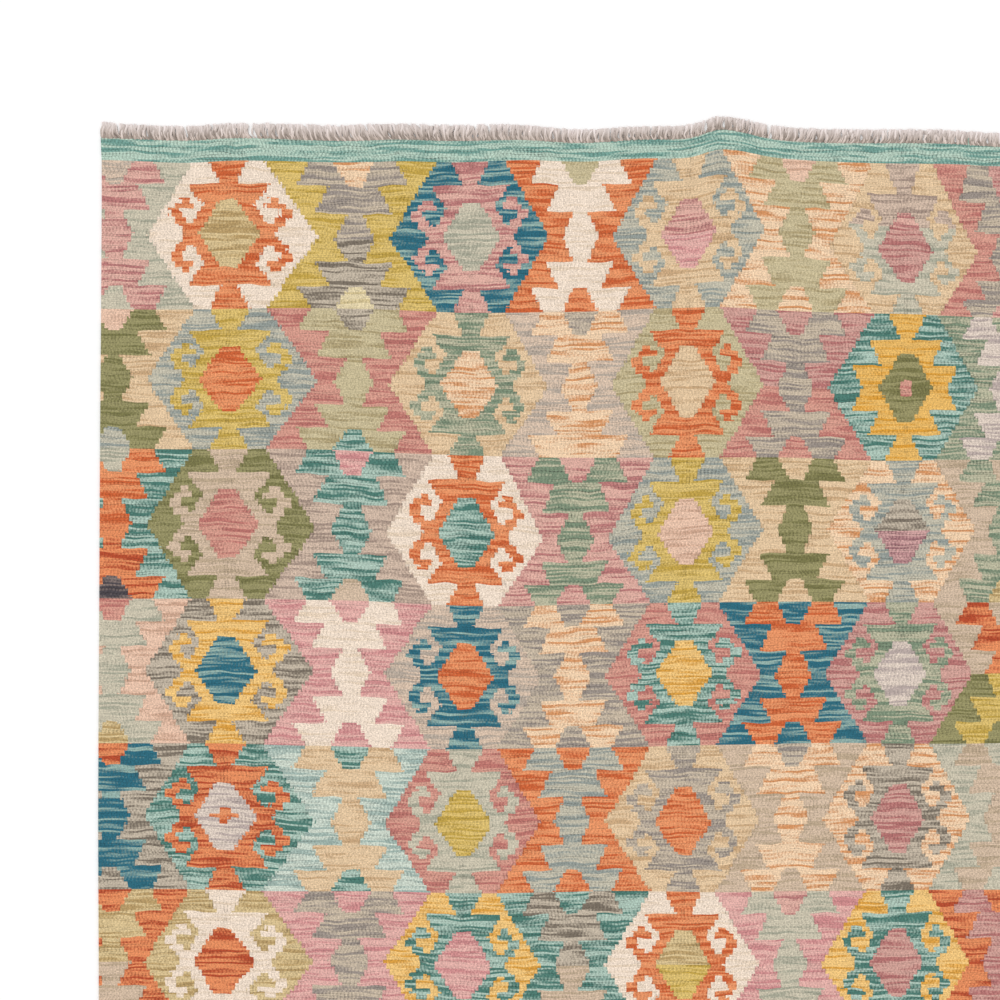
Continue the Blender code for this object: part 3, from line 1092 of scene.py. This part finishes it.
class KILIM_OT_weft_end(bpy.types.Operator):
    """Leave the loose teal weft end that stands in the top fringe"""

    bl_idname = "kilim.weft_end"
    bl_label = "Leave the loose weft end"

    def execute(self, context):
        sizes = context.scene.kilim_sizes
        end = FringeEnd("loose_weft_end", sizes, TOP_SWAY, 0.0, 1, TOP_LEAN, ())
        yarn = model_yarn(WEFT_END_WIDTH)
        lean, sag, bow, turn = WEFT_END_LIE
        end.add_yarn(yarn, 0.5, end.root(WEFT_END_PLACE), 1, WEFT_END_LENGTH,
                     lean, sag, bow, turn, HALF_YARN_HEIGHT * 2.3)
        piece = end.join()
        bpy.data.meshes.remove(yarn.data)
        finish_piece(piece, weft_end_material(context.scene.kilim_yarns), "dyed_wool")
        return {"FINISHED"}


class KILIM_OT_declare(bpy.types.Operator):
    """A step that does nothing to the scene"""

    bl_idname = "kilim.declare"
    bl_label = "Declare the laid cloth"

    def execute(self, context):
        return {"FINISHED"}


# ---------- the stage


def floor_material(shade):
    """A plain pale floor, very faintly uneven."""
    sketch = Sketch("pale_floor")
    light = sketch.fibres(FLOOR_CLOUDS).scaled(0.01, 0.995)
    return sketch.finish(linear(shade), light, {"Roughness": 0.95, "Specular IOR Level": 0.05})


class KILIM_OT_stage(bpy.types.Operator):
    """Set the pale floor, the soft light and the camera straight above"""

    bl_idname = "kilim.stage"
    bl_label = "Set the stage"

    def execute(self, context):
        scene, stage = context.scene, context.scene.kilim_stage
        plan = ClothPlan(scene.kilim_sizes)
        deselect_all()
        bpy.ops.mesh.primitive_plane_add(size=stage.floor_size)
        floor = context.active_object
        floor.name = "floor"
        for vert in floor.data.vertices:
            vert.co.z = -FLOOR_DROP
        floor.data.materials.append(floor_material(stage.floor_shade))

        bpy.ops.object.light_add(type="SUN", location=(-1.5, 2.0, 3.0))
        sun = context.active_object
        sun.rotation_euler = Vector(SUN_AIM).to_track_quat("-Z", "Y").to_euler()
        sun.data.energy, sun.data.angle = stage.sun_strength, math.radians(30)
        world = bpy.data.worlds.new("soft_studio")
        world.use_nodes = True
        sky = world.node_tree.nodes["Background"]
        sky.inputs["Color"].default_value = (1.0, 1.0, 1.0, 1.0)
        sky.inputs["Strength"].default_value = stage.sky_strength
        scene.world = world
        scene.view_settings.view_transform = "Standard"

        x, y = plan.left + VIEW_CENTRE[0], plan.top - VIEW_CENTRE[1]
        reach = VIEW_WIDTH * stage.lens / SENSOR_WIDTH
        bpy.ops.object.camera_add(location=(x, y, reach), rotation=(0.0, 0.0, 0.0))
        camera = context.active_object
        camera.data.lens, camera.data.sensor_width = stage.lens, SENSOR_WIDTH
        camera.data.clip_end = 100.0
        scene.camera = camera
        return {"FINISHED"}


class KILIM_PT_panel(bpy.types.Panel):
    """The kilim's pieces, sizes and shades"""

    bl_idname = "KILIM_PT_panel"
    bl_label = "Kilim rug"
    bl_space_type = "VIEW_3D"
    bl_region_type = "UI"
    bl_category = "Kilim"

    def draw(self, context):
        layout = self.layout
        for operator in OPERATORS:
            layout.operator(operator.bl_idname)
        for name, group in GROUPS.items():
            for setting in group.__annotations__:
                layout.prop(getattr(context.scene, name), setting)


OPERATORS = (
    KILIM_OT_stage, KILIM_OT_cloth, KILIM_OT_fringes, KILIM_OT_weft_end, KILIM_OT_declare,
)
GROUPS = {"kilim_sizes": KilimSizes, "kilim_stage": KilimStage, "kilim_yarns": KilimYarns}
CLASSES = (*GROUPS.values(), *OPERATORS, KILIM_PT_panel)


def register():
    for cls in CLASSES:
        bpy.utils.register_class(cls)
    for name, group in GROUPS.items():
        setattr(bpy.types.Scene, name, bpy.props.PointerProperty(type=group))


def unregister():
    for name in GROUPS:
        delattr(bpy.types.Scene, name)
    for cls in reversed(CLASSES):
        bpy.utils.unregister_class(cls)


def main():
    register()
    bpy.ops.kilim.stage()
    bpy.ops.kilim.cloth()
    bpy.ops.kilim.fringes()
    bpy.ops.kilim.weft_end()
    bpy.ops.kilim.declare()
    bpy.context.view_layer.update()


if __name__ == "__main__":
    main()
